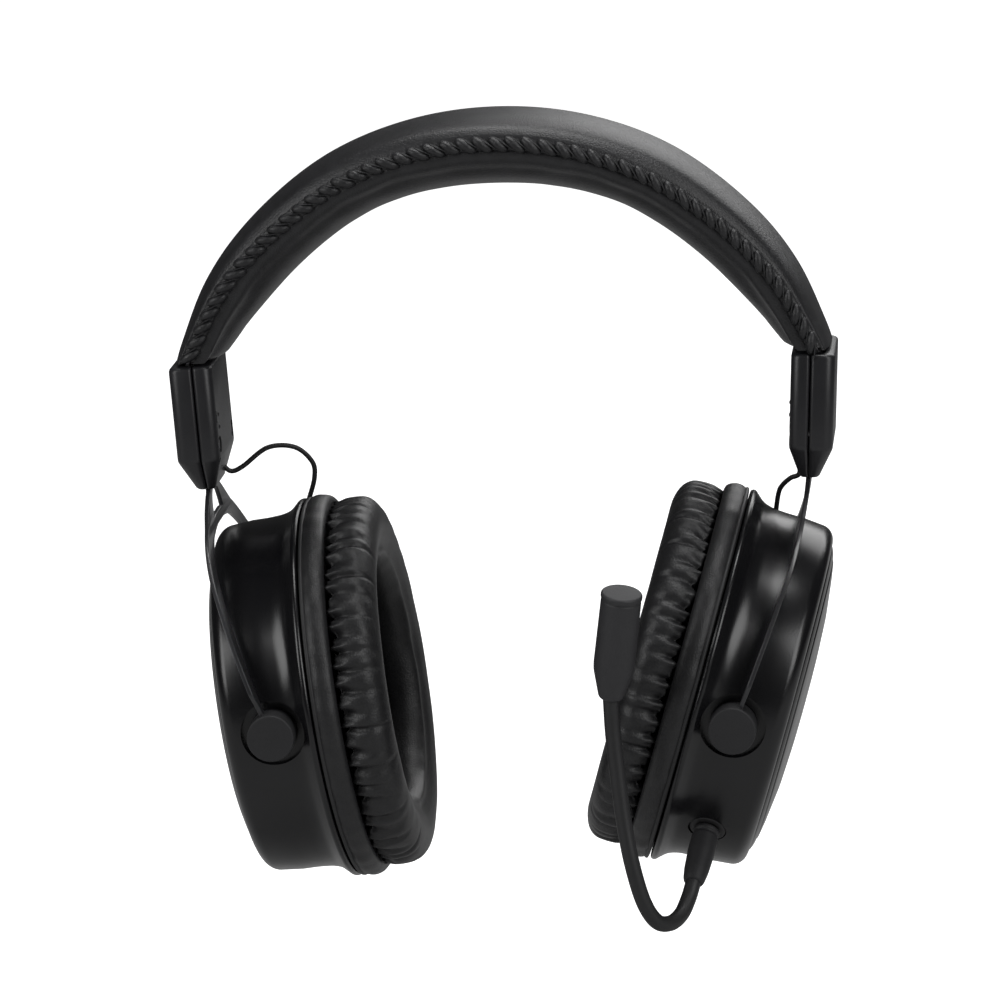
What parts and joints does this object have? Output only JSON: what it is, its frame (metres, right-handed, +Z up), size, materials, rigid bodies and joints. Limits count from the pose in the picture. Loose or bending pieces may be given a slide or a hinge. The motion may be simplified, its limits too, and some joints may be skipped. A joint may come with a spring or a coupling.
{
  "type": "gaming headset",
  "caption": "Over-ear headset with a padded band, height-adjusting housings, stamped yokes, round tilting cups with pleated cushions, and a plug-in bending boom microphone",
  "frame": {"origin": "Middle of the underside of the headband pad at the crown, where the headset rests on a head, hook or stand.", "axes": "+X towards the wearer's left, the microphone's side; -Y towards the wearer's front; +Z up, away from the ear cups."},
  "size_m": [0.1718, 0.1209, 0.1985],
  "materials": {
    "pleated_leatherette": "matte embossed synthetic leather, pleated",
    "band_leatherette": "soft synthetic leather with a fine grain",
    "spring_steel": "plain spring steel",
    "housing_plastic": "fine satin moulding",
    "painted_metal": "dark grey satin powder coat on steel sheet",
    "satin_black_plastic": "satin to semi-gloss moulding",
    "cap_plastic": "satin to semi-gloss moulding",
    "baffle_plastic": "matte moulding",
    "driver_frame": "matte moulding",
    "driver_grille": "perforated matte moulding",
    "scrim_cloth": "thin black acoustic cloth",
    "matte_black_plastic": "matte, fine spark texture",
    "lead_jacket": "smooth black jacket",
    "boom_rubber": "matte black sleeve",
    "mic_plastic": "matte moulding",
    "socket_plastic": "matte moulding",
    "jack_metal": "plated jack pin"
  },
  "bodies": {
    "band": {"headband_spring": "spring_steel", "headband_cover": "band_leatherette", "headband_pad": "band_leatherette", "right_housing_outer": "housing_plastic", "right_housing_inner": "housing_plastic", "right_housing_screw_1": "spring_steel", "right_housing_screw_2": "spring_steel", "right_detent_spring": "spring_steel", "right_lead_upper": "lead_jacket"},
    "left_band": {"left_housing_outer": "housing_plastic", "left_housing_inner": "housing_plastic", "left_housing_screw_1": "spring_steel", "left_housing_screw_2": "spring_steel", "left_detent_spring": "spring_steel", "left_lead_upper": "lead_jacket"},
    "right_slider": {"right_yoke": "painted_metal", "right_front_knob": "matte_black_plastic", "right_rear_knob": "matte_black_plastic", "right_front_pivot_screw": "spring_steel", "right_rear_pivot_screw": "spring_steel", "right_lead_lower": "lead_jacket"},
    "left_slider": {"left_yoke": "painted_metal", "left_front_knob": "matte_black_plastic", "left_rear_knob": "matte_black_plastic", "left_front_pivot_screw": "spring_steel", "left_rear_pivot_screw": "spring_steel", "left_lead_lower": "lead_jacket"},
    "right_cup": {"right_cup_shell": "satin_black_plastic", "right_outer_cap": "cap_plastic", "right_baffle": "baffle_plastic", "right_driver_frame": "driver_frame", "right_driver_magnet": "spring_steel", "right_driver_grille": "driver_grille", "right_ear_cushion": "pleated_leatherette", "right_scrim_cloth": "scrim_cloth"},
    "left_cup": {"left_cup_shell": "satin_black_plastic", "left_outer_cap": "cap_plastic", "left_baffle": "baffle_plastic", "left_driver_frame": "driver_frame", "left_driver_magnet": "spring_steel", "left_driver_grille": "driver_grille", "left_ear_cushion": "pleated_leatherette", "left_scrim_cloth": "scrim_cloth", "mic_jack_socket": "socket_plastic", "cable_inlet": "socket_plastic"},
    "mic_pin": {"mic_jack_pin": "jack_metal"},
    "mic_boom": {"mic_plug": "matte_black_plastic", "mic_boom_root": "boom_rubber", "mic_boom_flex": "boom_rubber"},
    "mic_head": {"mic_boom_tip": "boom_rubber", "mic_capsule_housing": "mic_plastic", "mic_end_disc": "mic_plastic", "mic_electret": "spring_steel"}
  },
  "joints": [
    {"name": "band_flex", "type": "hinge", "parent": "band", "child": "left_band", "pos_m": [0, 0, 0.0127], "axis": [0, -1, 0], "range_deg": [0, 12], "stiffness_Nm_per_rad": 3, "springref_deg": -2.86, "deforming": ["headband_spring", "headband_cover", "headband_pad"]},
    {"name": "right_slide", "type": "slide", "parent": "band", "child": "right_slider", "axis": [0.0523, 0, -0.9986], "range_m": [0, 0.022], "deforming": ["right_lead_upper"]},
    {"name": "left_slide", "type": "slide", "parent": "left_band", "child": "left_slider", "axis": [-0.0523, 0, -0.9986], "range_m": [0, 0.022], "deforming": ["left_lead_upper"]},
    {"name": "right_tilt", "type": "hinge", "parent": "right_slider", "child": "right_cup", "pos_m": [-0.0582, 0, -0.1323], "axis": [0, -1, 0], "range_deg": [-10, 17], "deforming": ["right_lead_lower"]},
    {"name": "left_tilt", "type": "hinge", "parent": "left_slider", "child": "left_cup", "pos_m": [0.0582, 0, -0.1323], "axis": [0, 1, 0], "range_deg": [-19, 9], "deforming": ["left_lead_lower"]},
    {"name": "mic_unplug", "type": "slide", "parent": "left_cup", "child": "mic_pin", "axis": [-0.1934, -0.7431, -0.6406], "range_m": [0, 0.016]},
    {"name": "mic_swivel", "type": "hinge", "parent": "mic_pin", "child": "mic_boom", "pos_m": [0.05032, -0.03359, -0.16151], "axis": [-0.1934, -0.7431, -0.6406], "range_deg": [-30, 45]},
    {"name": "mic_bend", "type": "hinge", "parent": "mic_boom", "child": "mic_head", "pos_m": [0.0316, -0.05972, -0.14916], "axis": [0, 1, 0], "range_deg": [-30, 30], "deforming": ["mic_boom_flex"]}
  ]
}
